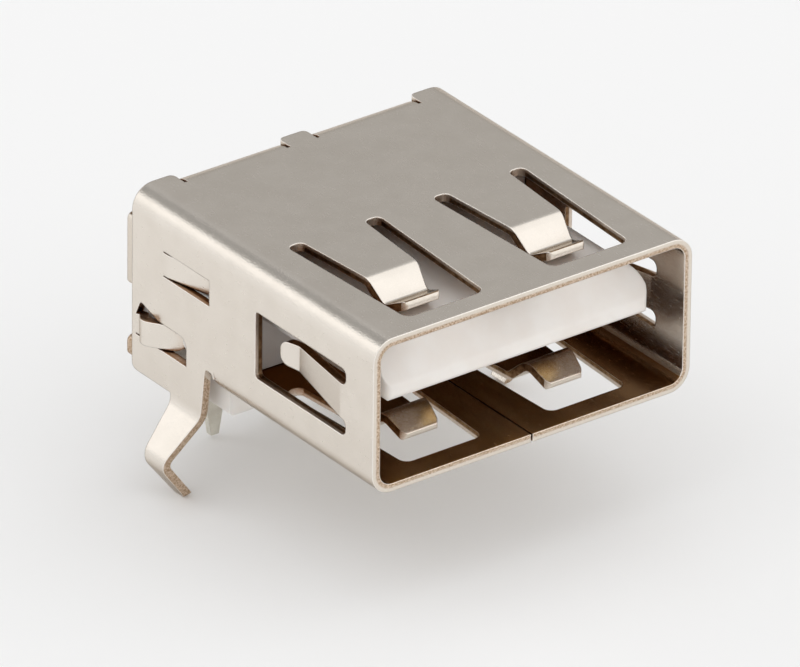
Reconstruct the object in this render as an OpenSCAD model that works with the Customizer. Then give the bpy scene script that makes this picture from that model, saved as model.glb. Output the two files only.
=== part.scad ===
// Right-angle USB-A socket for a circuit board: a folded shell, a moulded insulator and four contacts.
// Millimetres. The board's top is z = 0, the mouth faces -Y, and the shell legs stand on the X axis.

/* [Shell] */
// Outside width of the folded tube
tube_w = 13.1; // [12.9:0.05:14]
// Outside height of the folded tube
tube_h = 5.72; // [5.6:0.02:6.4]
// Thickness of the sheet
sheet = 0.3; // [0.25:0.01:0.34]
// Inside radius of the folds along the tube
fold_r = 0.5; // [0.3:0.05:0.65]
// Inside radius of the bends in springs, legs and contacts
bend_r = 0.25; // [0.15:0.05:0.35]
// Inside radius of the tight bends in barbs and lances
tab_bend_r = 0.12; // [0.08:0.01:0.16]
// Gap at the butt seam under the tube
seam = 0.08; // [0.04:0.01:0.2]
// Height of the tube's underside above the board
stand_off = 1.2; // [1:0.05:1.6]
// Gap between the lower edge of the walls and the board
wall_lift = 0.15; // [0.05:0.01:0.3]
// Distance from the mouth to the middle of the legs
mouth_to_legs = 10.28; // [9.8:0.02:12]
// Distance from the row of solder tails to the rear edge of the walls
tail_to_rear = 0.43; // [0.35:0.01:1.2]

/* [Top and bottom springs] */
// Distance of each spring's middle from the middle of the tube
spring_x = 2.98; // [2.9:0.02:3.2]
// Distance from the mouth to the front edge of the spring windows
window_front = 0.85; // [0.6:0.05:1.2]
// Distance from the mouth to the root of the springs
spring_root = 7.08; // [6.6:0.02:7.6]
// Width of a spring window at its front edge
window_front_w = 3.2; // [2.8:0.05:3.5]
// Width of a spring window at the spring's root
window_root_w = 3.8; // [3.6:0.05:4.0]
// Width of a spring at its root
spring_root_w = 2.54; // [2.2:0.02:2.8]
// Width of a spring at its fold
spring_fold_w = 2.04; // [1.8:0.02:2.2]
// Width of a spring at its tip
spring_tip_w = 1.44; // [1.2:0.02:1.8]
// Distance from the mouth to the fold where a spring dips
spring_fold = 3.78; // [3.5:0.02:4.4]
// Distance from the mouth to the lowest line of a spring
spring_trough = 3.02; // [2.8:0.02:3.2]
// Distance from the mouth to the tip of a spring
spring_tip = 2.16; // [1.8:0.02:2.3]
// Radius of the front corners of a spring window
window_r = 0.35; // [0.1:0.05:0.5]
// Radius of the corners of a spring's tip
spring_tip_r = 0.35; // [0.2:0.05:0.45]
// Radius of the rounded edges across a spring's tip
spring_edge_r = 0.1; // [0.04:0.01:0.11]
// How far a spring dips into the tube
spring_dip = 0.7; // [0.5:0.02:0.76]
// How far the curled tip stays below the sheet
spring_tip_dip = 0.25; // [0.1:0.05:0.4]

/* [Side springs] */
// Distance from the mouth to the front edge of the side windows
side_front = 1.5; // [1.2:0.05:2]
// Distance from the mouth to the rear edge of the side windows
side_rear = 6.5; // [6.2:0.05:7]
// Height of a side window
side_h = 2.48; // [2.2:0.02:2.8]
// Width of a side spring at its root
side_root_w = 1.3; // [1.1:0.02:1.5]
// Width of a side spring at its rounded tip
side_tip_w = 0.86; // [0.7:0.02:1]
// Distance from the mouth to the innermost line of a side spring
side_trough = 4.85; // [4.4:0.05:5]
// Distance from the mouth to the tip of a side spring
side_tip = 5.66; // [5.5:0.02:6]
// Radius of the rear corners of a side window
side_r = 0.15; // [0.05:0.05:0.3]
// Straight length at the root of a side spring
side_straight = 0.3; // [0.2:0.05:0.5]
// How far a side spring leans into the tube
side_dip = 0.58; // [0.4:0.02:0.64]
// How far the tip of a side spring stays inside the wall
side_tip_dip = 0.4; // [0.2:0.02:0.5]

/* [Barbs and lances] */
// Slit between a tab and the edge of its opening
slit = 0.05; // [0.03:0.01:0.1]
// Flat length where a barb or a lance leaves the wall
tab_root = 0.22; // [0.2:0.01:0.26]
// Height of the barb's middle above the tube's underside
barb_z = 3.62; // [3.4:0.02:3.8]
// Width of the barb
barb_w = 0.85; // [0.6:0.05:1]
// Length of the barb's opening
barb_len = 2.57; // [2.2:0.02:2.8]
// Distance from the barb's hinge to the rear edge of the wall
barb_hinge = 1.77; // [1.6:0.02:2]
// How far the barb's free end is pushed into the tube
barb_dip = 0.5; // [0.3:0.02:0.56]
// Height of the lance's lower edge above the tube's underside
lance_z = 0.36; // [0.3:0.02:0.5]
// Width of the lance
lance_w = 0.92; // [0.7:0.02:1]
// Length of the lance's opening
lance_len = 2.85; // [2.7:0.05:3]
// Distance from the lance's root to the rear edge of the wall
lance_root = 0.22; // [0.15:0.01:0.4]
// Length over which the lance rises to its bulge
lance_rise = 0.58; // [0.5:0.01:0.65]
// Distance from the lance's root to its free end
lance_reach = 2.15; // [2:0.05:2.4]
// How far the lance's free end is pushed into the tube
lance_dip = 0.5; // [0.3:0.02:0.56]
// How far the lance's ridge stands out of the wall
lance_bulge = 0.42; // [0.25:0.01:0.46]
// Height of the relief above the lance's root
relief_h = 0.38; // [0.25:0.01:0.5]
// Length of the relief above the lance's root
relief_len = 1.25; // [1:0.05:1.4]
// Distance from the relief's rear end to its highest point
relief_peak = 0.26; // [0.2:0.02:0.5]
// How far the relief reaches down beside the lance's root
relief_drop = 0.2; // [0.1:0.02:0.3]

/* [Legs] */
// Width of a leg where it leaves the wall
leg_w = 1.94; // [1.6:0.02:2.2]
// Width of a leg at its knee
knee_w = 1.06; // [0.8:0.02:1.4]
// How far the knee lies behind the middle of the leg's root
knee_back = 0.14; // [0:0.02:0.25]
// Width of a leg at its tip
leg_tip_w = 0.7; // [0.5:0.05:0.9]
// How far a leg reaches below the board
leg_reach = 3.3; // [2.8:0.05:3.8]
// Distance from the lower edge of the wall to a leg's first bend
leg_bend = 0.26; // [0.24:0.01:0.4]
// Depth of the knee below the board
knee_drop = 1.68; // [1.5:0.02:1.9]
// How far the corner of the knee stands out from the wall
knee_out = 1.42; // [1:0.02:1.5]
// How far the tip of a leg stands out from the wall
leg_tip_out = 0.2; // [0.1:0.01:0.5]
// Inside radius of a leg's first bend
leg_r = 0.6; // [0.3:0.05:0.65]
// Width of the notch in front of a leg at its top
notch_w = 0.46; // [0.4:0.02:0.6]
// How much wider the notch is at the lower edge of the wall
notch_flare = 0.2; // [0:0.02:0.3]
// Height of the notch above the tube's underside
notch_h = 0.68; // [0.6:0.02:0.75]
// Radius of the lower rear corner of the walls
wall_corner_r = 0.25; // [0.1:0.05:0.4]

/* [Rear flap] */
// Distance of a strap's inner edge from the middle
strap_in = 0.68; // [0.5:0.02:1]
// Distance of a strap's outer edge from the middle
strap_out = 4.78; // [4.2:0.02:4.9]
// Width of the cuts that free the straps from the top
strap_cut = 0.13; // [0.1:0.01:0.2]
// Inside radius of the straps' bend
strap_r = 0.75; // [0.6:0.05:0.85]
// Gap between the flap and the rear edge of the walls
flap_gap = 0.04; // [0.02:0.01:0.1]
// How far the flap's ears stay inside the outside of the walls
ear_inset = 0.05; // [0:0.01:0.2]
// Distance from the end of the straps' bend down to the ears
ear_drop = 0.05; // [0.02:0.01:0.3]
// Height of the upper ears' underside above the tube's underside
ear_under = 1.95; // [1.7:0.05:2.6]
// Height of the lower ears' top above the tube's underside
low_ear_top = 0; // [-0.1:0.05:0.4]
// Gap between the flap's lower edge and the board
flap_clear = 0.45; // [0.3:0.05:0.5]
// Radius of the flap's corners
flap_r = 0.2; // [0.1:0.02:0.28]
// How deep the notch between the ears is cut
ear_notch = 0.6; // [0.45:0.05:0.9]

/* [Insulator] */
// Width of the tongue
tongue_w = 10.9; // [10.4:0.05:11.2]
// Thickness of the tongue
tongue_t = 1.84; // [1.7:0.02:1.9]
// Distance from the mouth to the front of the tongue
tongue_front = 0.8; // [0.6:0.05:1.2]
// Gap between the tongue and the inside of the top
tongue_drop = 0.8; // [0.76:0.01:0.9]
// Radius of the tongue's upper long edges
tongue_top_r = 1; // [0.4:0.05:1.2]
// Radius of the tongue's lower long edges
tongue_under_r = 0.35; // [0.1:0.05:0.5]
// Radius of the tongue's upright front corners
tongue_side_r = 0.3; // [0.1:0.05:0.6]
// Height of the upright part of the tongue's nose
nose_upright = 0.6; // [0.5:0.05:0.9]
// How far the nose leans back above its upright part
nose_lean = 0.8; // [0.3:0.05:1]
// Radius of the nose's edges
nose_r = 0.25; // [0.1:0.05:0.4]
// How far the block reaches forward over the tube's floor
block_lap = 0.16; // [0.05:0.01:0.25]
// Width of the base that stands on the board
base_w = 11.5; // [10.5:0.05:11.9]
// Radius of the base's lower long edges
base_r = 0.15; // [0.05:0.05:0.3]
// Gap between the base and the rear edge of the tube's floor
base_gap = 0.1; // [0.05:0.01:0.3]
// Clearance between the moulding and the sheet
fit = 0.03; // [0.01:0.01:0.06]
// How much rounder the block's long edges are than the folds beside them
block_relief = 0.1; // [0.05:0.01:0.3]
// Room round the barbs and lances in their pockets
pocket_room = 0.06; // [0.03:0.01:0.1]
// Distance from the moulding's rear face to the rear edge of the walls
block_inset = 0.1; // [0.05:0.01:0.15]

/* [Contacts] */
// Distance between the two outer contacts
outer_pitch = 7; // [6.8:0.05:7.2]
// Distance between the two inner contacts
inner_pitch = 2; // [1.8:0.05:2.2]
// Width of a contact
contact_w = 1; // [0.8:0.02:1.1]
// Thickness of a contact
contact_t = 0.25; // [0.2:0.01:0.28]
// Distance from the legs to the row of solder tails
tail_row = 2.71; // [2.5:0.01:3]
// Distance from the tongue's front to the tip of a contact
contact_setback = 0.7; // [0.5:0.05:1]
// Flat length at the tip of a contact
contact_lead = 0.35; // [0.3:0.05:0.5]
// Distance from the tongue's front to the contact bump
bump_setback = 2; // [1.8:0.05:2.4]
// How far the bump stands below the tongue
bump_proud = 0.38; // [0.25:0.02:0.45]
// Depth of the contact slots in the tongue
slot_depth = 0.55; // [0.45:0.01:0.65]
// Clearance at each side of a contact in its slot
slot_side = 0.05; // [0.03:0.01:0.1]
// Width of a solder tail
tail_w = 0.6; // [0.5:0.02:0.7]
// Width of a solder tail at its tip
tail_tip_w = 0.32; // [0.25:0.01:0.4]
// Height above the board at which a contact narrows to its tail
tail_top = 0.6; // [0.4:0.05:0.9]
// Length of the taper at a tail's tip
tail_taper = 0.8; // [0.5:0.05:1.2]
// How far a tail reaches below the board
tail_reach = 3.15; // [2.6:0.05:3.6]

/* [Hidden] */

// Largest distance between a rounded corner and its flats
arc_error = 0.004;
// Overlap that carries a cut clear of the faces it passes through
past = 1;
// Overlap that joins one stretch of the sheet to the next
weld = 0.05;
// Radius of a rounded tip or slot end as a share of its width
tip_round = 0.4;

half_w = tube_w / 2;
mid_h = tube_h / 2;
board_z = -stand_off;
wall_z = board_z + wall_lift;
rear = mouth_to_legs + tail_row + tail_to_rear;
floor_rear = mouth_to_legs - leg_w / 2 - notch_w;
flap_y = rear + flap_gap + sheet;
strap_root = flap_y - strap_r - sheet;
ear_top = tube_h - strap_r - sheet - ear_drop;
barb_rear = rear - barb_hinge;
barb_front = barb_rear - barb_len;
lance_rear = rear - lance_root;
lance_front = lance_rear - lance_len;
block_front = floor_rear - block_lap;
block_rear = rear - block_inset;
block_half = half_w - sheet - fit;
block_floor = sheet + fit;
block_top = tube_h - sheet - fit;
base_front = floor_rear + base_gap;
tongue_top = tube_h - sheet - tongue_drop;
tongue_under = tongue_top - tongue_t;
slot_top = tongue_under + slot_depth;
contact_front = tongue_front + contact_setback;
bump_y = tongue_front + bump_setback;
tail_back = mouth_to_legs + tail_row + contact_t / 2;
tail_face = tail_back - contact_t;
spring_slot = (window_root_w - spring_root_w) / 2;
side_slot = (side_h - side_root_w) / 2;
lance_top = lance_z + lance_w;
lance_ridge = lance_rear - tab_root - lance_rise;
lance_tip = lance_rear - lance_reach;
relief_front = lance_rear - relief_len;
contact_x = [-outer_pitch / 2, -inner_pitch / 2, inner_pitch / 2, outer_pitch / 2];

function unit(v) = v / norm(v);
function left_of(v) = [-v[1], v[0]];
function turned(v, a) = [v[0] * cos(a) - v[1] * sin(a), v[0] * sin(a) + v[1] * cos(a)];
function flat_point(p) = [p[0], p[1]];

// One corner of an outline: the point itself, or an arc of its radius p[2] between its two sides
function corner(before, p, after) =
    p[2] == undef || p[2] == 0 ? [flat_point(p)] :
    let (
        u = unit(flat_point(before) - flat_point(p)),
        v = unit(flat_point(after) - flat_point(p)),
        half = acos(u * v) / 2,
        centre = flat_point(p) + unit(u + v) * p[2] / sin(half),
        first = flat_point(p) + u * p[2] / tan(half) - centre,
        sweep = (180 - 2 * half) * (cross(u, v) < 0 ? 1 : -1),
        steps = max(2, ceil(abs(sweep) / (2 * acos(1 - arc_error / p[2]))))
    )
    [for (k = [0:steps]) centre + turned(first, sweep * k / steps)];

// An outline of points [x, y, radius] with its corners rounded
function rounded(points) =
    let (n = len(points))
    [for (i = [0:n - 1]) each corner(points[(i + n - 1) % n], points[i], points[(i + 1) % n])];

// The section of a bent strip: a line of points along one face, the thickness t to its left (or to its
// right where t is negative), the inside radius r of its bends and the edge radius of its last end; a
// point may carry the inside radius of its own bend
function ribbon(line, t, r, edge = 0) =
    let (
        n = len(line),
        p = [for (q = line) flat_point(q)],
        own_r = [for (q = line) q[2] == undef ? r : q[2]],
        d = [for (i = [0:n - 2]) unit(p[i + 1] - p[i])],
        inside = [for (i = [0:n - 1]) i == 0 || i == n - 1 ? 0 : sign(cross(d[i - 1], d[i]) * t)],
        end = [for (i = [0:n - 1]) i == n - 1 ? edge : 0],
        near = [for (i = [0:n - 1]) [p[i][0], p[i][1], end[i] + bend_radius(inside[i], t, own_r[i])]],
        far = [for (i = [n - 1:-1:0])
            let (
                a = left_of(d[max(i - 1, 0)]),
                b = left_of(d[min(i, n - 2)]),
                q = p[i] + (a + b) * t / (1 + a * b)
            )
            [q[0], q[1], end[i] + bend_radius(-inside[i], t, own_r[i])]]
    )
    rounded(concat(near, far));

function bend_radius(inside, t, r) = inside == 0 ? 0 : inside > 0 ? r + abs(t) : r;

// Draws an outline of (x, z) points from y0 to y1
module along_y(y0, y1) {
    translate([0, y1, 0]) rotate([90, 0, 0]) linear_extrude(y1 - y0) children();
}

// Draws an outline of (y, z) points from x0 to x1
module across_x(x0, x1) {
    translate([x0, 0, 0]) rotate([90, 0, 90]) linear_extrude(x1 - x0) children();
}

// Draws an outline of (x, y) points from z0 to z1
module up_z(z0, z1) {
    translate([0, 0, z0]) linear_extrude(z1 - z0) children();
}

module both_sides() {
    children();
    mirror([1, 0, 0]) children();
}

// Everything is drawn from the mouth: y runs back from it and z up from the tube's underside
module on_board() {
    translate([0, -mouth_to_legs, stand_off]) children();
}

// The front of the sheet is a closed tube, butted under its middle
module tube_front() {
    along_y(0, floor_rear)
        polygon(ribbon([
            [seam / 2, 0], [half_w, 0], [half_w, tube_h],
            [-half_w, tube_h], [-half_w, 0], [-seam / 2, 0]], sheet, fold_r));
}

// Behind the floor the walls reach down almost to the board, with a round-ended notch in front of each
// leg, and the top's rear edge is notched for the straps
module tube_rear() {
    cut_in = strap_in - strap_cut;
    cut_out = strap_out + strap_cut;
    notch_r = tip_round * notch_w;
    intersection() {
        along_y(floor_rear - weld, rear)
            polygon(ribbon([
                [half_w, wall_z], [half_w, tube_h],
                [-half_w, tube_h], [-half_w, wall_z]], sheet, fold_r));
        across_x(-tube_w, tube_w)
            polygon(rounded([
                [floor_rear - weld, tube_h + past],
                [floor_rear - weld, notch_h - notch_r],
                [floor_rear, notch_h - notch_r],
                [floor_rear, notch_h, notch_r],
                [floor_rear + notch_w, notch_h, notch_r],
                [floor_rear + notch_w + notch_flare, wall_z],
                [rear, wall_z, wall_corner_r],
                [rear, tube_h + past]]));
        up_z(wall_z - past, tube_h + past)
            polygon(rounded([
                [-tube_w, floor_rear - weld], [tube_w, floor_rear - weld], [tube_w, rear],
                [cut_out, rear, flap_r], [cut_out, strap_root],
                [cut_in, strap_root], [cut_in, rear, flap_r],
                [-cut_in, rear, flap_r], [-cut_in, strap_root],
                [-cut_out, strap_root], [-cut_out, rear, flap_r],
                [-tube_w, rear]]));
    }
}

// A spring's window goes through both the top and the bottom
module spring_window() {
    up_z(-past, tube_h + past)
        polygon(rounded([
            [spring_x - window_front_w / 2, window_front, window_r],
            [spring_x + window_front_w / 2, window_front, window_r],
            [spring_x + window_root_w / 2, spring_root, tip_round * spring_slot],
            [spring_x - window_root_w / 2, spring_root, tip_round * spring_slot]]));
}

// A spring runs forward from its root in the face at height z, dips into the tube and curls back at its
// tip; out is 1 on the top and -1 on the bottom
module spring(z, out) {
    root_r = tip_round * spring_slot;
    intersection() {
        across_x(spring_x - window_root_w, spring_x + window_root_w)
            polygon(ribbon([
                [spring_root + weld, z],
                [spring_fold, z],
                [spring_trough, z - out * spring_dip],
                [spring_tip, z - out * spring_tip_dip]], out * sheet, bend_r, spring_edge_r));
        up_z(-past, tube_h + past)
            polygon(rounded([
                [spring_x - spring_root_w / 2 - root_r, spring_root + weld],
                [spring_x - spring_root_w / 2 - root_r, spring_root],
                [spring_x - spring_root_w / 2, spring_root, root_r],
                [spring_x - spring_fold_w / 2, spring_fold],
                [spring_x - spring_tip_w / 2, spring_tip - sheet / 2, spring_tip_r],
                [spring_x + spring_tip_w / 2, spring_tip - sheet / 2, spring_tip_r],
                [spring_x + spring_fold_w / 2, spring_fold],
                [spring_x + spring_root_w / 2, spring_root, root_r],
                [spring_x + spring_root_w / 2 + root_r, spring_root],
                [spring_x + spring_root_w / 2 + root_r, spring_root + weld]]));
    }
}

module side_window() {
    across_x(half_w - sheet - past, half_w + past)
        polygon(rounded([
            [side_front, mid_h - side_h / 2, tip_round * side_slot],
            [side_rear, mid_h - side_h / 2, side_r],
            [side_rear, mid_h + side_h / 2, side_r],
            [side_front, mid_h + side_h / 2, tip_round * side_slot]]));
}

// A side spring runs back from its root, leans into the tube and turns out again at its round tip
module side_spring() {
    root_r = tip_round * side_slot;
    tip_r = tip_round * side_tip_w;
    intersection() {
        up_z(mid_h - side_h / 2, mid_h + side_h / 2)
            polygon(ribbon([
                [half_w, side_front - weld],
                [half_w, side_front + side_straight],
                [half_w - side_dip, side_trough],
                [half_w - side_tip_dip, side_tip]], sheet, bend_r));
        across_x(0, tube_w)
            polygon(rounded([
                [side_front - weld, mid_h - side_root_w / 2 - root_r],
                [side_front, mid_h - side_root_w / 2 - root_r],
                [side_front, mid_h - side_root_w / 2, root_r],
                [side_tip, mid_h - side_tip_w / 2, tip_r],
                [side_tip, mid_h + side_tip_w / 2, tip_r],
                [side_front, mid_h + side_root_w / 2, root_r],
                [side_front, mid_h + side_root_w / 2 + root_r],
                [side_front - weld, mid_h + side_root_w / 2 + root_r]]));
    }
}

module barb_opening() {
    across_x(half_w - sheet - past, half_w + past)
        polygon([
            [barb_front, barb_z - barb_w / 2 - slit], [barb_rear, barb_z - barb_w / 2 - slit],
            [barb_rear, barb_z + barb_w / 2 + slit], [barb_front, barb_z + barb_w / 2 + slit]]);
}

// A barb is hinged at its rear end and leans into the tube
module barb() {
    up_z(barb_z - barb_w / 2, barb_z + barb_w / 2)
        polygon(ribbon([
            [half_w - barb_dip, barb_front + slit],
            [half_w, barb_rear - tab_root],
            [half_w, barb_rear + weld]], sheet, tab_bend_r));
}

// The lance's opening widens above its root into a relief that is highest near the rear
module lance_opening() {
    across_x(half_w - sheet - past, half_w + past)
        polygon(rounded([
            [lance_front, lance_z - slit],
            [lance_rear, lance_z - slit],
            [lance_rear, lance_top - relief_drop],
            [lance_rear - relief_peak, lance_top + relief_h, tip_round * relief_h],
            [relief_front, lance_top + slit],
            [lance_front, lance_top + slit, tip_round * lance_w]]));
}

// A lance kicks out to a ridge beside its root, then leans through the wall into the tube
module lance() {
    tip_r = tip_round * lance_w;
    intersection() {
        up_z(lance_z, lance_top)
            polygon(ribbon([
                [half_w - lance_dip, lance_tip],
                [half_w + lance_bulge, lance_ridge],
                [half_w, lance_rear - tab_root],
                [half_w, lance_rear + weld]], sheet, tab_bend_r));
        across_x(0, tube_w)
            polygon(rounded([
                [lance_tip, lance_z, tip_r],
                [lance_rear + weld, lance_z],
                [lance_rear + weld, lance_top - relief_drop],
                [lance_rear, lance_top - relief_drop],
                [lance_ridge, lance_top],
                [lance_tip, lance_top, tip_r]]));
    }
}

// A leg kicks out below the wall and comes back in to its tip, narrowing all the way down
module leg() {
    knee_y = mouth_to_legs + knee_back;
    knee_z = board_z - knee_drop;
    tip_z = board_z - leg_reach;
    tip_r = tip_round * leg_tip_w;
    root_front = mouth_to_legs - leg_w / 2 + notch_flare;
    intersection() {
        along_y(mouth_to_legs - leg_w, mouth_to_legs + leg_w)
            polygon(ribbon([
                [half_w + leg_tip_out, tip_z], [half_w + knee_out, knee_z],
                [half_w, wall_z - leg_bend, leg_r], [half_w, wall_z + weld]], sheet, bend_r));
        across_x(0, tube_w)
            polygon(rounded([
                [root_front, wall_z + weld], [root_front, wall_z],
                [knee_y - knee_w / 2, knee_z],
                [knee_y - leg_tip_w / 2, tip_z, tip_r], [knee_y + leg_tip_w / 2, tip_z, tip_r],
                [knee_y + knee_w / 2, knee_z],
                [mouth_to_legs + leg_w / 2, wall_z], [mouth_to_legs + leg_w / 2, wall_z + weld]]));
    }
}

module strap() {
    across_x(strap_in, strap_out)
        polygon(ribbon([
            [flap_y, ear_top - weld], [flap_y, tube_h], [strap_root - weld, tube_h]], sheet, strap_r));
}

// The flap hangs from the straps behind the walls; its ears cover their rear edges
module flap() {
    ear = half_w - ear_inset;
    waist = ear - ear_notch;
    foot = board_z + flap_clear;
    along_y(flap_y - sheet, flap_y)
        polygon(rounded([
            [ear, ear_top, flap_r], [-ear, ear_top, flap_r], [-ear, ear_under, flap_r],
            [-waist, ear_under, flap_r], [-waist, low_ear_top, flap_r], [-ear, low_ear_top, flap_r],
            [-ear, foot, flap_r], [ear, foot, flap_r], [ear, low_ear_top, flap_r],
            [waist, low_ear_top, flap_r], [waist, ear_under, flap_r], [ear, ear_under, flap_r]]));
}

module shell() {
    color("silver") on_board() {
        difference() {
            union() {
                tube_front();
                tube_rear();
            }
            both_sides() {
                spring_window();
                side_window();
                barb_opening();
                lance_opening();
            }
        }
        both_sides() {
            spring(tube_h, 1);
            spring(0, -1);
            side_spring();
            barb();
            lance();
            leg();
            strap();
        }
        flap();
    }
}

// The tongue's section, its side view and its plan give it its three kinds of rounded edge
module tongue() {
    intersection() {
        along_y(tongue_front, block_front + past)
            polygon(rounded([
                [-tongue_w / 2, tongue_under, tongue_under_r],
                [tongue_w / 2, tongue_under, tongue_under_r],
                [tongue_w / 2, tongue_top, tongue_top_r],
                [-tongue_w / 2, tongue_top, tongue_top_r]]));
        across_x(-tongue_w, tongue_w)
            polygon(rounded([
                [tongue_front, tongue_under, nose_r],
                [block_front + past, tongue_under],
                [block_front + past, tongue_top],
                [tongue_front + nose_lean, tongue_top, nose_r],
                [tongue_front, tongue_under + nose_upright, nose_r]]));
        up_z(0, tube_h)
            polygon(rounded([
                [-tongue_w / 2, tongue_front, tongue_side_r],
                [tongue_w / 2, tongue_front, tongue_side_r],
                [tongue_w / 2, block_front + past], [-tongue_w / 2, block_front + past]]));
    }
}

// The block fills the rear of the tube, with its edges rounded clear of the folds and the straps' bend
module block() {
    edge_r = fold_r + block_relief;
    intersection() {
        along_y(block_front, block_rear)
            polygon(rounded([
                [-block_half, block_floor, edge_r], [block_half, block_floor, edge_r],
                [block_half, block_top, edge_r], [-block_half, block_top, edge_r]]));
        across_x(-tube_w, tube_w)
            polygon(rounded([
                [block_front, block_floor], [block_rear, block_floor],
                [block_rear, block_top, strap_r + block_relief], [block_front, block_top]]));
    }
}

module base() {
    along_y(base_front, block_rear)
        polygon(rounded([
            [-base_w / 2, board_z, base_r], [base_w / 2, board_z, base_r],
            [base_w / 2, block_floor + fold_r], [-base_w / 2, block_floor + fold_r]]));
}

// The pockets take the barb and the lance that hold the moulding in the shell
module pockets() {
    across_x(half_w - sheet - barb_dip - pocket_room, half_w)
        polygon([
            [barb_front - pocket_room, barb_z - barb_w / 2 - pocket_room],
            [barb_rear - tab_root, barb_z - barb_w / 2 - pocket_room],
            [barb_rear - tab_root, barb_z + barb_w / 2 + pocket_room],
            [barb_front - pocket_room, barb_z + barb_w / 2 + pocket_room]]);
    across_x(half_w - sheet - lance_dip - pocket_room, half_w)
        polygon([
            [lance_tip - pocket_room, block_floor - past],
            [lance_ridge, block_floor - past],
            [lance_ridge, lance_top + pocket_room],
            [lance_tip - pocket_room, lance_top + pocket_room]]);
}

// A contact's way through the moulding: a slot under the tongue, a passage through the block, and a
// groove that is open at the rear and at the board
module contact_way() {
    half_slot = contact_w / 2 + slot_side;
    passage_floor = tongue_under - bump_proud - slot_side;
    across_x(-half_slot, half_slot)
        polygon([
            [contact_front - slot_side, slot_top],
            [contact_front - slot_side, tongue_under - past],
            [block_front, tongue_under - past],
            [block_front, passage_floor],
            [tail_face, passage_floor],
            [tail_face, board_z - past],
            [block_rear + past, board_z - past],
            [block_rear + past, slot_top]]);
}

module insulator() {
    color("white") on_board() difference() {
        union() {
            tongue();
            block();
            base();
        }
        both_sides() pockets();
        for (x = contact_x) translate([x, 0, 0]) contact_way();
    }
}

// A contact is a strip that dips to a bump under the tongue, runs back along the top of its passage and
// turns down into a tail with a tapered tip
module contact(x) {
    tip_z = slot_top - slot_side;
    crest = tongue_under - bump_proud + contact_t;
    foot = board_z - tail_reach;
    shoulder = board_z + tail_top;
    color("gold") on_board() translate([x, 0, 0]) intersection() {
        across_x(-contact_w / 2, contact_w / 2)
            polygon(ribbon([
                [contact_front, tip_z], [contact_front + contact_lead, tip_z], [bump_y, crest],
                [block_front, slot_top], [tail_back, slot_top], [tail_back, foot]], -contact_t, bend_r));
        along_y(contact_front - past, tail_back + past)
            polygon([
                [-contact_w / 2, slot_top + past], [-contact_w / 2, shoulder], [-tail_w / 2, shoulder],
                [-tail_w / 2, foot + tail_taper], [-tail_tip_w / 2, foot], [tail_tip_w / 2, foot],
                [tail_w / 2, foot + tail_taper], [tail_w / 2, shoulder], [contact_w / 2, shoulder],
                [contact_w / 2, slot_top + past]]);
    }
}

module contact_1() {
    contact(contact_x[0]);
}

module contact_2() {
    contact(contact_x[1]);
}

module contact_3() {
    contact(contact_x[2]);
}

module contact_4() {
    contact(contact_x[3]);
}

shell();
insulator();
contact_1();
contact_2();
contact_3();
contact_4();
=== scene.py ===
"""Looks of a board socket: folded nickel shell, white tongue and gilt contacts, on a pale table."""
import math

import bpy
from mathutils import Matrix, Vector


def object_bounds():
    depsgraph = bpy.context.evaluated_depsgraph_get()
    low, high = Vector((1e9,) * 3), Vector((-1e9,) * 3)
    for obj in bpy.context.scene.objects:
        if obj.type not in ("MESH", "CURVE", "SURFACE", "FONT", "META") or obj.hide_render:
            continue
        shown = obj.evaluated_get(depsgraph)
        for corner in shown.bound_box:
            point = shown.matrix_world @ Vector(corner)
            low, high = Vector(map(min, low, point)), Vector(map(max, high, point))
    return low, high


MM = 0.001

# The photograph's view of the part
IMAGE_W = 800
FOCAL_PX = 14814
SENSOR_W = 36
CLIP_START = 0.01
CLIP_END = 10
VIEW_AZIMUTH = math.radians(-37.06)
VIEW_ELEVATION = math.radians(28.45)
VIEW_ROLL = math.radians(0.69)
VIEW_DISTANCE = 489.9 * MM
VIEW_AIM = Vector((-1.359, -4.808, 3.284)) * MM

# The sheet and the edges, as the meshes and the shading read them
SHEET = 0.3 * MM
SHEET_LIMIT = 1.15 * SHEET
RAY_LENGTH = 2 * SHEET
SHARP_ANGLE = math.radians(30)
WELD = 0.001 * MM
SHEET_EDGE_R = 0.075 * MM
MOULD_EDGE_R = 0.08 * MM

# Where things lie on the part, in mm
HALF_WIDTH = 6.55
HALF_HEIGHT = 2.86
TUBE_AXIS = 4.06
FOLD = 0.8
MOUTH = -10.28
RIM_DEPTH = 0.05
SPRINGS_WITHIN = 5.5
FLOOR_TOP = 1.7
FLOOR_WITHIN = 6.2
GOLD_TO_TIN = (-5.0, -4.0)

# Depths under the tube's outer face, in mm, at which its cut faces change
OUTSIDE = -0.05
BURNISH_FADES = (0.1, 0.16)
RIM_FADES = (0.11, 0.19)

# Parts of a normal that tell a face to the mouth, a face upward, and a bend's start and full turn
TO_MOUTH = -0.3
UPWARD = 0.5
BEND_TURN = (0.08, 0.3)

# Cosines between an edge's rounded normal and its face's, where edge wear and a painted edge highlight
# start and are full
WORN_HIGHLIT_TURN = (0.97, 0.8)

# Painted shade, darker and browner by how closed in a place is within the two distances
TUBE_DEPTH = 9 * MM
CREVICE_DEPTH = 0.3 * MM
TUBE_OPENS = (0.45, 0.6)
CREVICE_OPENS = (0.1, 0.5)
DARKEST = 0.28
STREAK = 0.04
SHADE_POWERS = {"Red": 0.9, "Green": 1.45, "Blue": 2.0}

# The part of a noise's range that a finish uses
FULL_SPAN = (0.2, 0.8)
GRAIN_SPAN = (0.25, 0.75)
CLOUD_SPAN = (0.3, 0.7)
TAN_SPAN = (0.35, 0.65)

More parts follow.
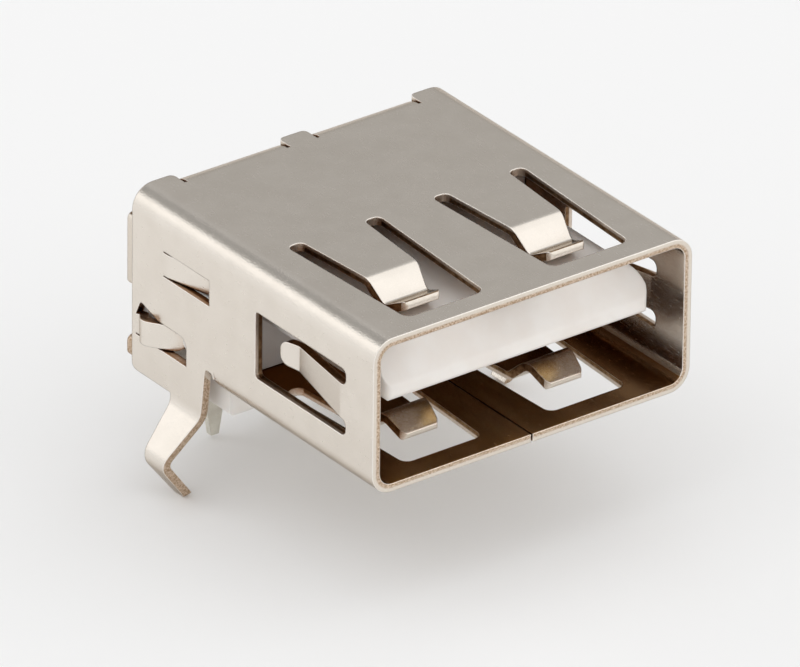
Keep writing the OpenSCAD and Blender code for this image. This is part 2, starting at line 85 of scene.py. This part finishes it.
# Colours: a pair is the two ends of a mottled one
NO_TINT = (1, 1, 1, 1)
PLATE = ((0.812, 0.752, 0.677, 1), (0.848, 0.788, 0.713, 1))
# Edges: rubbed plate, made paler by a painted highlight
WORN_HIGHLIT_PLATE = (0.95, 0.91, 0.86, 1)
EDGE_TINT = (0.6, 0.55, 0.5, 1)
BURNISHED = ((0.7, 0.62, 0.53, 1), (0.86, 0.8, 0.72, 1))
TORN = ((0.13, 0.07, 0.03, 1), (0.36, 0.24, 0.14, 1))
TAN = ((0.4, 0.27, 0.17, 1), (0.74, 0.6, 0.47, 1))
# Painted shade: the browns for crevices and for the tube's floor
CREVICE_SHADE = (0.3, 0.2, 0.12, 1)
FLOOR_SHADE = (0.5, 0.34, 0.2, 1)
PLASTIC = ((0.85, 0.8, 0.75, 1), (0.89, 0.855, 0.815, 1))
GOLD = ((0.78, 0.6, 0.3, 1), (0.88, 0.72, 0.42, 1))
TIN = ((0.68, 0.65, 0.57, 1), (0.78, 0.76, 0.68, 1))
TABLE_COLOUR = (0.93, 0.93, 0.93, 1)

# Roughness and relief
PLATE_ROUGHNESS = (0.2, 0.28)
CUT_ROUGHER = 0.15
BEND_SMOOTHER = 0.08
PLASTIC_ROUGHNESS = (0.34, 0.46)
CONTACT_ROUGHNESS = (0.25, 0.38)
NICKEL_RELIEF = 0.02 * MM
FLAT_RELIEF = 0.003
FINE_RELIEF = 0.01 * MM
PLASTIC_GLOW = 0.25
GLOW_COLOUR = (1, 0.9, 0.8)
GLOW_DEPTH = 0.3 * MM

TABLE_R = 1.5
TABLE_SIDES = 64


class Zone:
    """A part of the sky: its middle, the angles from it where it starts to fade and ends, its light."""

    def __init__(self, middle, full, faded, light):
        self.middle = Vector(middle).normalized()
        self.full = math.cos(math.radians(full))
        self.faded = math.cos(math.radians(faded))
        self.light = light


# Light, in plain radiance: 1 is white. A later zone lies over an earlier one. In the photograph's view
# they light, in turn, the table, the left bend, the tongue's front, the springs' slopes, the springs'
# lips, the dark line over the left bend, and the top.
SKY_LIGHT = 0.97
ZONES = (
    Zone((-0.25, -0.15, 0.95), full=20, faded=45, light=1.28),
    Zone((-0.56, 0.7, 0.44), full=12, faded=18, light=1.2),
    Zone((-0.3, -0.75, 0.6), full=15, faded=40, light=0.78),
    Zone((0.6, 0.05, 0.8), full=22, faded=44, light=1.13),
    Zone((0.53, -0.75, 0.4), full=18, faded=36, light=1.3),
    Zone((-0.1, 0.7, 0.7), full=16, faded=20, light=0.38),
    Zone((0.53, 0.7, 0.476), full=20, faded=28, light=0.49),
)


class Nodes:
    """Builds a node tree: add() makes a node, sets its fields, and sets or links its sockets."""

    def __init__(self, tree):
        self.tree = tree

    def add(self, kind, inputs=None, **fields):
        node = self.tree.nodes.new(kind)
        for name, value in fields.items():
            setattr(node, name, value)
        for key, value in (inputs or {}).items():
            self.fill(node.inputs[key], value)
        return node

    def fill(self, socket, value):
        if isinstance(value, bpy.types.NodeSocket):
            self.tree.links.new(value, socket)
        else:
            socket.default_value = value

    def math(self, operation, a, b=0.0):
        return self.add("ShaderNodeMath", {0: a, 1: b}, operation=operation).outputs[0]

    def product(self, a, b):
        return self.math("MULTIPLY", a, b)

    def opposite(self, a):
        return self.math("SUBTRACT", 1.0, a)

    def vector(self, operation, a, b=(0, 0, 0)):
        return self.add("ShaderNodeVectorMath", {0: a, 1: b}, operation=operation).outputs["Vector"]

    def dot(self, a, b):
        return self.add("ShaderNodeVectorMath", {0: a, 1: b}, operation="DOT_PRODUCT").outputs["Value"]

    def scaled(self, a, by):
        return self.add("ShaderNodeVectorMath", {0: a, "Scale": by}, operation="SCALE").outputs["Vector"]

    def xyz(self, vector):
        return self.add("ShaderNodeSeparateXYZ", {0: vector}).outputs

    def ramp(self, value, low, high, to_low=0.0, to_high=1.0):
        return self.map_range(value, low, high, to_low, to_high, "SMOOTHSTEP")

    def line(self, value, low, high, to_low, to_high):
        return self.map_range(value, low, high, to_low, to_high, "LINEAR")

    def map_range(self, value, low, high, to_low, to_high, course):
        inputs = {"Value": value, "From Min": low, "From Max": high, "To Min": to_low, "To Max": to_high}
        return self.add("ShaderNodeMapRange", inputs, interpolation_type=course).outputs[0]

    def mix(self, factor, a, b):
        node = self.add("ShaderNodeMix", data_type="RGBA")
        sockets = {s.identifier: s for s in node.inputs}
        for key, value in (("Factor_Float", factor), ("A_Color", a), ("B_Color", b)):
            self.fill(sockets[key], value)
        return next(s for s in node.outputs if s.identifier == "Result_Color")

    def mottled(self, noise, colours, span=CLOUD_SPAN):
        return self.mix(self.ramp(noise, *span), *colours)

    def blend(self, factor, a, b):
        return self.math("ADD", self.product(self.opposite(factor), a), self.product(factor, b))

    def tint(self, colour, by):
        return self.vector("MULTIPLY", colour, by)

    def occlusion(self, distance):
        """How open a place is within the distance, by its own piece's faces: 0 is closed in, 1 is open."""
        inputs = {"Distance": distance}
        return self.add("ShaderNodeAmbientOcclusion", inputs, samples=8, only_local=True).outputs["AO"]

    def rounded(self, radius, samples):
        return self.add("ShaderNodeBevel", {"Radius": radius}, samples=samples).outputs[0]

    def relief(self, inputs, strength, distance):
        inputs = {"Strength": strength, "Distance": distance, **inputs}
        return self.add("ShaderNodeBump", inputs).outputs[0]

    def noise(self, where, scale=1.0, detail=2.0, rough=0.5):
        inputs = {"Vector": where, "Scale": scale, "Detail": detail, "Roughness": rough}
        return self.add("ShaderNodeTexNoise", inputs).outputs["Fac"]

    def in_mm(self, stretch=(1, 1, 1)):
        place = self.add("ShaderNodeTexCoord").outputs["Object"]
        return self.vector("MULTIPLY", place, tuple(s / MM for s in stretch))


def new_material(name):
    material = bpy.data.materials.new(name)
    material.use_nodes = True
    material.node_tree.nodes.clear()
    return material, Nodes(material.node_tree)


def finish_material(nodes, shader):
    nodes.add("ShaderNodeOutputMaterial", {"Surface": shader.outputs[0]})


def sheet_depth(n, mm):
    """How far a place lies from the middle plane, and how deep under the tube's outer face, in mm."""
    x, _, z = n.xyz(n.vector("ABSOLUTE", n.vector("SUBTRACT", mm, (0, 0, TUBE_AXIS))))
    past_x = n.math("SUBTRACT", x, HALF_WIDTH - FOLD)
    past_z = n.math("SUBTRACT", z, HALF_HEIGHT - FOLD)
    square_x = n.math("POWER", n.math("MAXIMUM", past_x, 0.0), 2.0)
    square_z = n.math("POWER", n.math("MAXIMUM", past_z, 0.0), 2.0)
    round_corner = n.math("SQRT", n.math("ADD", square_x, square_z))
    flat = n.math("MINIMUM", n.math("MAXIMUM", past_x, past_z), 0.0)
    return x, n.math("SUBTRACT", FOLD, n.math("ADD", round_corner, flat))


def sheared_colour(n, mm, normal):
    """Cut faces of the sheet: burnished by the outer face and at the springs' ends, torn and brown
    further in, and tan on what stands outside the tube."""
    from_middle, depth = sheet_depth(n, mm)
    to_mouth = n.math("LESS_THAN", n.xyz(normal)["Y"], TO_MOUTH)
    spring_end = n.product(to_mouth, n.math("LESS_THAN", from_middle, SPRINGS_WITHIN))
    behind_rim = n.math("GREATER_THAN", n.xyz(mm)["Y"], MOUTH + RIM_DEPTH)
    torn = n.product(n.product(n.ramp(depth, *BURNISH_FADES), n.opposite(spring_end)), behind_rim)

    speckle = n.noise(mm, scale=14.0, rough=0.7)
    patch = n.noise(mm, scale=6.0, detail=3.0, rough=0.6)
    burnished = n.mix(speckle, *BURNISHED)
    tan = n.mottled(speckle, TAN, TAN_SPAN)
    rim = n.mix(n.ramp(depth, *RIM_FADES), burnished, tan)
    of_tube = n.mix(torn, n.mix(behind_rim, rim, burnished), n.mottled(patch, TORN))
    return n.mix(n.math("LESS_THAN", depth, OUTSIDE), of_tube, tan)


def painted_inner_shade(n, mm, normal):
    """Painted shade: darkens and browns the shell's inside and crevices by how closed in a place is, and
    its floor, where shade and dark reflections fall.
    """
    streak = n.noise(n.in_mm((3, 0.5, 3)))
    openness = n.math("ADD", n.occlusion(TUBE_DEPTH), n.ramp(streak, *FULL_SPAN, -STREAK, STREAK))
    shade = n.line(openness, *TUBE_OPENS, DARKEST, 1.0)
    shades = {name: n.math("POWER", shade, power) for name, power in SHADE_POWERS.items()}
    brown = n.add("ShaderNodeCombineColor", shades).outputs[0]

    # Painted shade in crevices
    crevice = n.ramp(n.occlusion(CREVICE_DEPTH), *CREVICE_OPENS)
    brown = n.tint(brown, n.mix(crevice, CREVICE_SHADE, NO_TINT))

    # Painted shade on the tube's floor
    x, _, z = n.xyz(n.vector("ABSOLUTE", mm))
    upward = n.math("GREATER_THAN", n.xyz(normal)["Z"], UPWARD)
    floor = n.product(upward, n.math("LESS_THAN", z, FLOOR_TOP))
    floor = n.product(floor, n.math("LESS_THAN", x, FLOOR_WITHIN))
    return n.tint(brown, n.mix(floor, NO_TINT, FLOOR_SHADE))


def nickel():
    material, n = new_material("nickel")
    mm = n.in_mm()
    normal = n.add("ShaderNodeNewGeometry").outputs["Normal"]
    turned = n.xyz(n.vector("ABSOLUTE", normal))
    bend = n.ramp(n.math("MINIMUM", turned["X"], turned["Z"]), *BEND_TURN)
    cut = n.add("ShaderNodeAttribute", attribute_name="cut").outputs["Fac"]
    edge = n.rounded(SHEET_EDGE_R, samples=8)
    # Edges lighter: wear and a painted edge highlight
    worn_and_highlit = n.ramp(n.dot(edge, normal), *WORN_HIGHLIT_TURN)

    cloud = n.noise(mm, scale=0.9, detail=4.0)
    grain = n.noise(n.in_mm((14, 3, 14)), detail=3.0, rough=0.6)
    speckle = n.noise(mm, scale=16.0, rough=0.7)
    colour = n.mix(cut, n.mottled(cloud, PLATE), sheared_colour(n, mm, normal))
    colour = n.mix(worn_and_highlit, colour, WORN_HIGHLIT_PLATE)
    # Painted shade inside the tube, in its crevices and on its floor
    colour = n.tint(colour, painted_inner_shade(n, mm, normal))

    rough = n.math("ADD", n.ramp(grain, *GRAIN_SPAN, *PLATE_ROUGHNESS), n.product(cut, CUT_ROUGHER))
    rough = n.math("SUBTRACT", rough, n.product(bend, BEND_SMOOTHER))
    height = n.product(n.math("ADD", bend, FLAT_RELIEF), speckle)
    shader = n.add("ShaderNodeBsdfPrincipled", {
        "Base Color": colour, "Metallic": 1.0, "Roughness": rough, "Specular Tint": EDGE_TINT,
        "Normal": n.relief({"Height": height, "Normal": edge}, strength=0.5, distance=NICKEL_RELIEF)})
    finish_material(n, shader)
    return material


def white_plastic():
    material, n = new_material("white_plastic")
    mm = n.in_mm()
    cloud = n.noise(mm, scale=0.8, detail=3.0)
    pebble = n.noise(mm, scale=22.0)
    edge = n.rounded(MOULD_EDGE_R, samples=6)
    shader = n.add("ShaderNodeBsdfPrincipled", {
        "Base Color": n.mottled(cloud, PLASTIC),
        "Roughness": n.ramp(pebble, *FULL_SPAN, *PLASTIC_ROUGHNESS),
        "Normal": n.relief({"Height": pebble, "Normal": edge}, strength=0.15, distance=FINE_RELIEF),
        "Subsurface Weight": PLASTIC_GLOW, "Subsurface Radius": GLOW_COLOUR,
        "Subsurface Scale": GLOW_DEPTH})
    finish_material(n, shader)
    return material


def contact_alloy():
    """Gold at the plug's end, tin on the solder tails."""
    material, n = new_material("contact_alloy")
    mm = n.in_mm()
    cloud = n.noise(mm, scale=2.0, detail=3.0)
    grain = n.noise(n.in_mm((20, 2, 20)))
    tinned = n.ramp(n.xyz(mm)["Y"], *GOLD_TO_TIN)
    shader = n.add("ShaderNodeBsdfPrincipled", {
        "Base Color": n.mix(tinned, n.mottled(cloud, GOLD), n.mottled(cloud, TIN)), "Metallic": 1.0,
        "Roughness": n.ramp(grain, *FULL_SPAN, *CONTACT_ROUGHNESS),
        "Normal": n.relief({"Height": grain}, strength=0.1, distance=FINE_RELIEF)})
    finish_material(n, shader)
    return material


def table_surface():
    material, n = new_material("table")
    finish_material(n, n.add("ShaderNodeBsdfDiffuse", {"Color": TABLE_COLOUR}))
    return material


def smoothing_group():
    """Joins the facets, marks the sheared faces of the sheet as "cut", and shades bends smooth."""
    group = bpy.data.node_groups.new("smooth_bends", "GeometryNodeTree")
    group.interface.new_socket("Geometry", in_out="INPUT", socket_type="NodeSocketGeometry")
    group.interface.new_socket("Geometry", in_out="OUTPUT", socket_type="NodeSocketGeometry")
    n = Nodes(group)
    source = n.add("NodeGroupInput").outputs[0]
    bare = n.add("GeometryNodeRemoveAttribute", {"Geometry": source, "Name": "custom_normal"}).outputs[0]
    joined = n.add("GeometryNodeMergeByDistance", {"Geometry": bare, "Distance": WELD}).outputs[0]

    # A face of the sheet has the other face one thickness behind it, and a sheared face does not
    normal = n.add("GeometryNodeInputNormal").outputs[0]
    place = n.add("GeometryNodeInputPosition").outputs[0]
    ray = n.add("GeometryNodeRaycast", {
        "Target Geometry": joined, "Source Position": n.vector("ADD", place, n.scaled(normal, -WELD)),
        "Ray Direction": n.scaled(normal, -1.0), "Ray Length": RAY_LENGTH}).outputs
    sheet_face = n.product(ray["Is Hit"], n.math("LESS_THAN", ray["Hit Distance"], SHEET_LIMIT))
    marked = n.add("GeometryNodeStoreNamedAttribute", {
        "Geometry": joined, "Name": "cut", "Value": n.opposite(sheet_face)},
        data_type="FLOAT", domain="FACE").outputs[0]

    smooth = n.add("GeometryNodeSetShadeSmooth", {"Geometry": marked}, domain="FACE").outputs[0]
    angle = n.add("GeometryNodeInputMeshEdgeAngle").outputs["Unsigned Angle"]
    gentle = n.math("LESS_THAN", angle, SHARP_ANGLE)
    creased = n.add("GeometryNodeSetShadeSmooth", {
        "Geometry": smooth, "Shade Smooth": gentle}, domain="EDGE").outputs[0]
    n.add("NodeGroupOutput", {0: creased})
    return group


def dress(piece, material, group):
    piece.data.materials.clear()
    piece.data.materials.append(material)
    piece.modifiers.new("smooth_bends", "NODES").node_group = group
    flats = piece.modifiers.new("flat_faces", "WEIGHTED_NORMAL")
    flats.mode = "FACE_AREA"
    flats.keep_sharp = True


def make_table(height):
    """A round table top, level with the part's lowest point."""
    mesh = bpy.data.meshes.new("table")
    turns = [2 * math.pi * i / TABLE_SIDES for i in range(TABLE_SIDES)]
    points = [(TABLE_R * math.cos(a), TABLE_R * math.sin(a), height) for a in turns]
    mesh.from_pydata(points, [], [range(TABLE_SIDES)])
    table = bpy.data.objects.new("table", mesh)
    bpy.context.scene.collection.objects.link(table)
    mesh.materials.append(table_surface())


def make_world():
    world = bpy.data.worlds.new("studio")
    bpy.context.scene.world = world
    world.use_nodes = True
    world.node_tree.nodes.clear()
    n = Nodes(world.node_tree)
    toward = n.add("ShaderNodeTexCoord").outputs["Generated"]
    light = SKY_LIGHT
    for zone in ZONES:
        near = n.dot(toward, tuple(zone.middle))
        light = n.blend(n.ramp(near, zone.faded, zone.full), light, zone.light)
    surface = n.add("ShaderNodeBackground", {"Color": (1, 1, 1, 1), "Strength": light})
    n.add("ShaderNodeOutputWorld", {"Surface": surface.outputs[0]})


def make_camera():
    a, e = VIEW_AZIMUTH, VIEW_ELEVATION
    back = Vector((math.sin(a) * math.cos(e), -math.cos(a) * math.cos(e), math.sin(e)))
    right = Vector((0, 0, 1)).cross(back).normalized()
    axes = Matrix((right, back.cross(right), back)).transposed()
    data = bpy.data.cameras.new("camera")
    data.sensor_width = SENSOR_W
    data.lens = FOCAL_PX / IMAGE_W * SENSOR_W
    data.clip_start = CLIP_START
    data.clip_end = CLIP_END
    camera = bpy.data.objects.new("camera", data)
    turn = axes.to_4x4() @ Matrix.Rotation(VIEW_ROLL, 4, "Z")
    camera.matrix_world = Matrix.Translation(VIEW_AIM + back * VIEW_DISTANCE) @ turn
    bpy.context.scene.collection.objects.link(camera)
    bpy.context.scene.camera = camera


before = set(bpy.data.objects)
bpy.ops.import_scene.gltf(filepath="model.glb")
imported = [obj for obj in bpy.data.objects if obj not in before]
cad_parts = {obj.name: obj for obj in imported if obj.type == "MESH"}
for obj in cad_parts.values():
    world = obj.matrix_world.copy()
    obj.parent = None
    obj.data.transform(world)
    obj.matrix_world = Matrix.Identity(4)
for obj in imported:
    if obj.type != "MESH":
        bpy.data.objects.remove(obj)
cad_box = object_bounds()
bpy.context.scene.view_settings.view_transform = "Standard"

bends = smoothing_group()
dress(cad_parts["shell"], nickel(), bends)
dress(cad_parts["insulator"], white_plastic(), bends)
gilt = contact_alloy()
for name in (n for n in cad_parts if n.startswith("contact")):
    dress(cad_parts[name], gilt, bends)

make_table(cad_box[0][2])
make_world()
make_camera()
